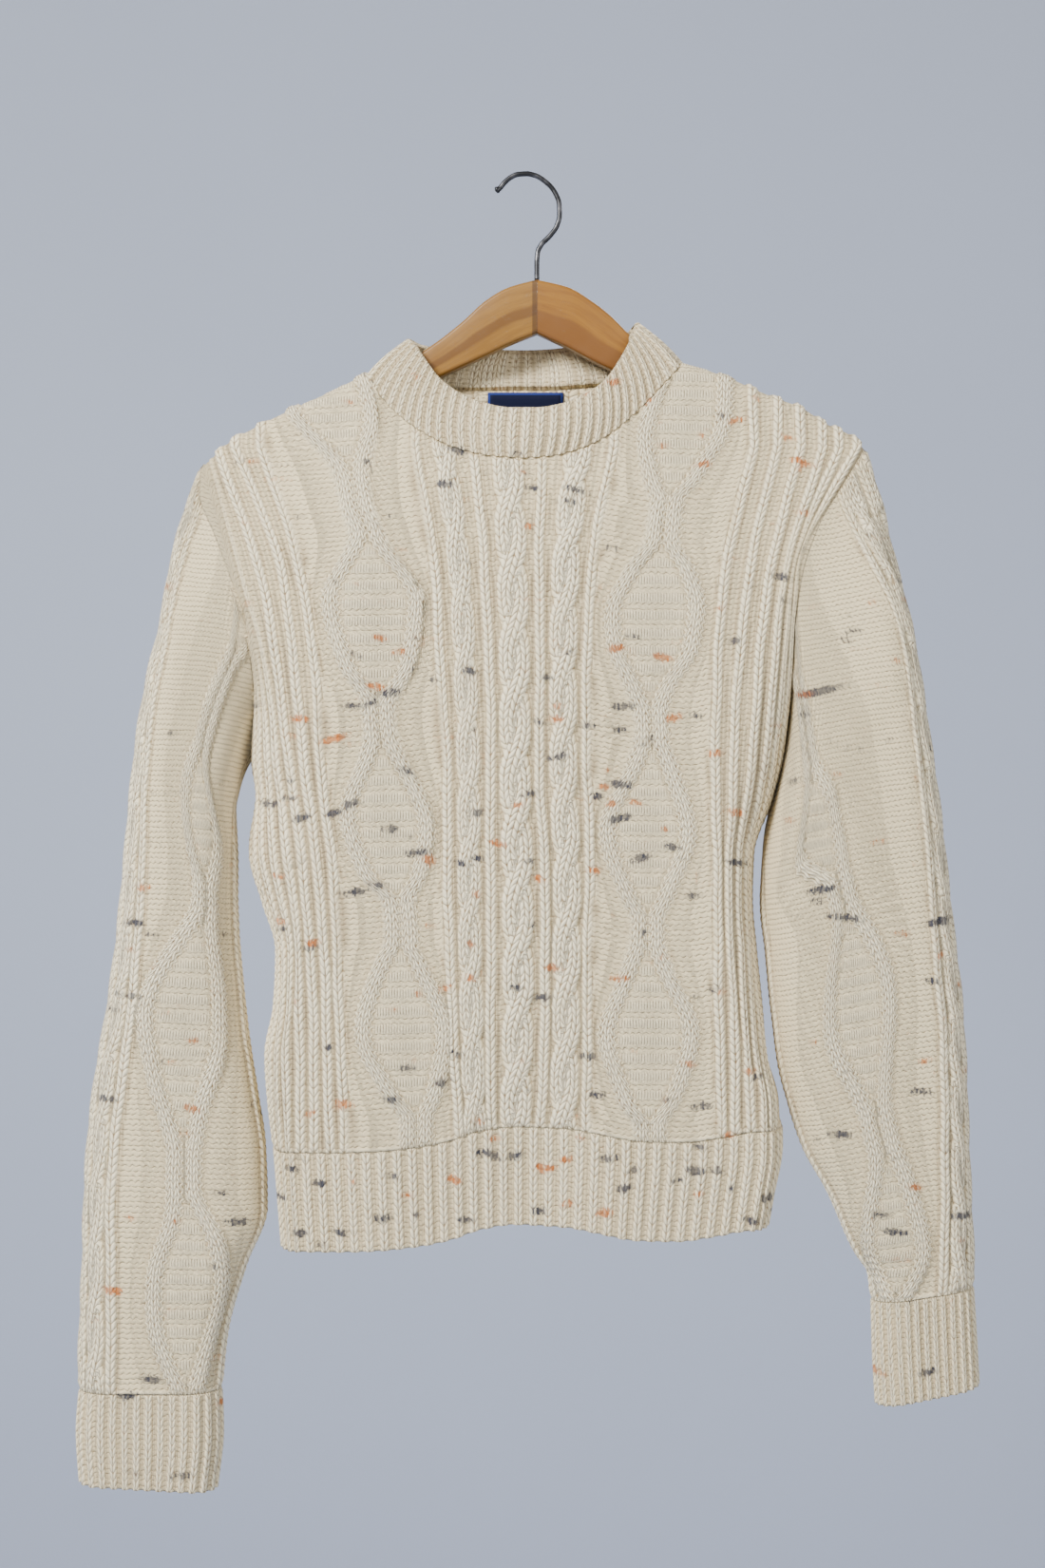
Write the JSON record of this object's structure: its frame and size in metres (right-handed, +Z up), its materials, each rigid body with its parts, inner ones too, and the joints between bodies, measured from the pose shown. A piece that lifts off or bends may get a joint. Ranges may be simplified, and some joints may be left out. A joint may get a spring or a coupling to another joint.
{
  "type": "cable knit sweater on a wooden hanger",
  "caption": "Cream flecked wool sweater with cables and diamonds, ribbed neck, cuffs and hem, hanging on a wooden hanger with a wire hook.",
  "frame": {"origin": "underside of the hanger's hook where it hangs", "axes": "+Z up, the front of the sweater faces -Y, +X to the viewer's right"},
  "size_m": [0.6209, 0.0927, 0.9115],
  "materials": {
    "wool": "matte",
    "rib_wool": "matte",
    "label": "satin",
    "pale_wood": "satin",
    "dark_wood": "satin",
    "steel": "satin"
  },
  "bodies": {
    "root": {"front_panel": "wool", "back_panel": "wool", "sleeve_left": "wool", "sleeve_right": "wool", "cuff_left": "rib_wool", "cuff_right": "rib_wool", "hem_front": "rib_wool", "hem_back": "rib_wool", "neckband": "rib_wool", "neck_label": "label", "hanger_arm_left": "pale_wood", "hanger_arm_right": "dark_wood", "hanger_hook": "steel"}
  },
  "joints": []
}
